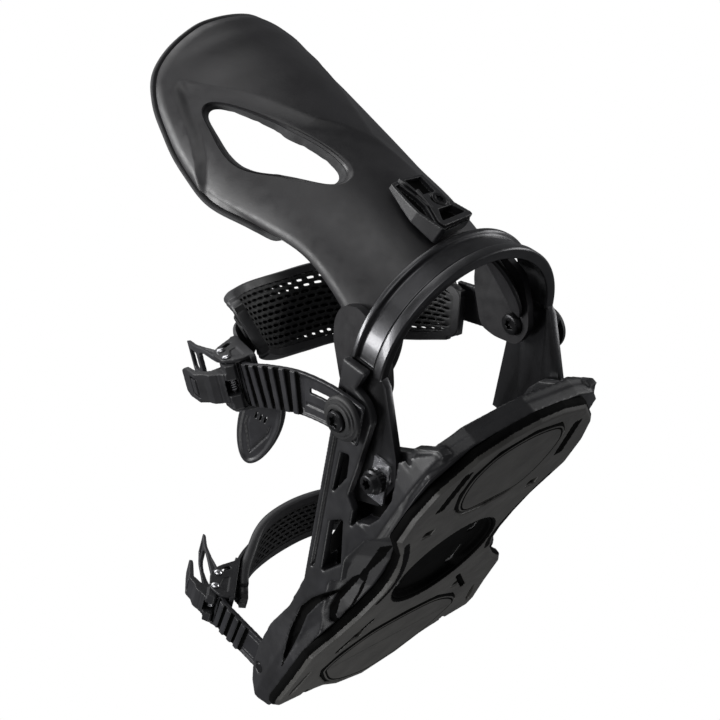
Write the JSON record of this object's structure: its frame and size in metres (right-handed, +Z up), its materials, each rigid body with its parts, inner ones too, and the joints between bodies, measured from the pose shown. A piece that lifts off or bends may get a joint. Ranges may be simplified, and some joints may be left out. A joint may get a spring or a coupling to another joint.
{
  "type": "snowboard binding",
  "caption": "Strap-in snowboard binding, one of a left and right pair: two-piece base, turning disc, heel hoop, folding highback, ankle and toe straps with ratchet buckles.",
  "frame": {"origin": "centre of the disc opening on the board plane (the underside of the two base pads)", "axes": "+Y towards the toe, -X towards the side with the ladders and buckles, +Z up from the board"},
  "size_m": [0.1642, 0.2818, 0.2795],
  "materials": {
    "nylon": "satin moulded nylon with a fine grain",
    "frame_nylon": "satin moulded nylon, slightly warm",
    "foam": "matte closed-cell foam",
    "strap_rubber": "matte moulded rubber",
    "strap_core": "open moulded mesh with a smooth border",
    "ladder": "satin flexible plastic",
    "anodised": "gloss black anodised aluminium",
    "black_metal": "black coated steel",
    "steel": "bright plated steel"
  },
  "bodies": {
    "base": {"base_plate": "frame_nylon", "chassis": "nylon", "toe_base_pad": "foam", "heel_base_pad": "foam", "toe_footbed": "foam", "heel_footbed": "foam", "ankle_cap_left": "nylon", "ankle_cap_right": "nylon", "ankle_screw_left": "black_metal", "ankle_screw_right": "black_metal", "ankle_nut_left": "steel", "ankle_nut_right": "steel", "toe_pin_left": "black_metal", "toe_pin_right": "black_metal"},
    "disc": {"mounting_disc": "nylon"},
    "hoop": {"heel_hoop": "anodised", "serrated_plate_left": "steel", "serrated_plate_right": "steel", "hoop_screw_left": "black_metal", "hoop_screw_right": "black_metal", "hoop_nut_left": "steel", "hoop_nut_right": "steel"},
    "highback": {"highback_shell": "nylon", "highback_liner": "foam", "highback_bolt_left": "black_metal", "highback_bolt_right": "black_metal", "highback_bush_left": "steel", "highback_bush_right": "steel"},
    "lean_slider": {"lean_block": "nylon", "lean_screw": "black_metal"},
    "lean_lever": {"lean_lever": "strap_rubber"},
    "ankle_strap": {"ankle_ladder": "ladder", "ankle_pad": "strap_core", "ankle_connector": "ladder", "ankle_tongue": "strap_rubber", "ankle_buckle_frame": "nylon", "ankle_lever_pin": "steel", "ankle_pawl_pin": "steel", "ankle_pawl_spring": "steel"},
    "ankle_lever": {"ankle_ratchet_lever": "nylon"},
    "ankle_pawl": {"ankle_release_pawl": "nylon"},
    "toe_strap": {"toe_ladder": "ladder", "toe_pad": "strap_core", "toe_connector": "ladder", "toe_buckle_frame": "nylon", "toe_lever_pin": "steel", "toe_pawl_pin": "steel", "toe_pawl_spring": "steel"},
    "toe_lever": {"toe_ratchet_lever": "nylon"},
    "toe_pawl": {"toe_release_pawl": "nylon"}
  },
  "joints": [
    {"name": "disc_turn", "type": "hinge", "parent": "base", "child": "disc", "pos_m": [0, 0, 0.006], "axis": [0, 0, 1], "continuous": true},
    {"name": "hoop_adjust", "type": "slide", "parent": "base", "child": "hoop", "axis": [0, -0.9426, 0.3338], "range_m": [-0.005, 0.005]},
    {"name": "highback_fold", "type": "hinge", "parent": "hoop", "child": "highback", "pos_m": [0, -0.101, 0.062], "axis": [-1, 0, 0], "range_deg": [0, 55]},
    {"name": "lean_slide", "type": "slide", "parent": "highback", "child": "lean_slider", "axis": [0, 0, 1], "range_m": [0, 0.014]},
    {"name": "lean_lever_open", "type": "hinge", "parent": "lean_slider", "child": "lean_lever", "pos_m": [-0.0019, -0.15841, 0.1125], "axis": [0, 0, 1], "range_deg": [0, 70]},
    {"name": "ankle_strap_swing", "type": "hinge", "parent": "base", "child": "ankle_strap", "pos_m": [0, -0.0928, 0.0562], "axis": [-1, 0, 0], "range_deg": [0, 33]},
    {"name": "ankle_lever_open", "type": "hinge", "parent": "ankle_strap", "child": "ankle_lever", "pos_m": [-0.06949, -0.0405, 0.12356], "axis": [-0.1004, -0.7212, 0.6854], "range_deg": [0, 85]},
    {"name": "ankle_pawl_press", "type": "hinge", "parent": "ankle_strap", "child": "ankle_pawl", "pos_m": [-0.07442, -0.04717, 0.11581], "axis": [-0.1004, -0.7212, 0.6854], "range_deg": [0, 12]},
    {"name": "toe_strap_swing", "type": "hinge", "parent": "base", "child": "toe_strap", "pos_m": [0, 0.087, 0.022], "axis": [-1, 0, 0], "range_deg": [-15, 12]},
    {"name": "toe_lever_open", "type": "hinge", "parent": "toe_strap", "child": "toe_lever", "pos_m": [-0.0588, 0.09488, 0.07504], "axis": [-0.0005, -0.9756, 0.2196], "range_deg": [0, 75]},
    {"name": "toe_pawl_press", "type": "hinge", "parent": "toe_strap", "child": "toe_pawl", "pos_m": [-0.06605, 0.09346, 0.06871], "axis": [-0.0005, -0.9756, 0.2196], "range_deg": [0, 12]}
  ],
  "couplings": [
    {"joint": "ankle_strap_swing", "follows": "highback_fold", "ratio": 0.6}
  ]
}
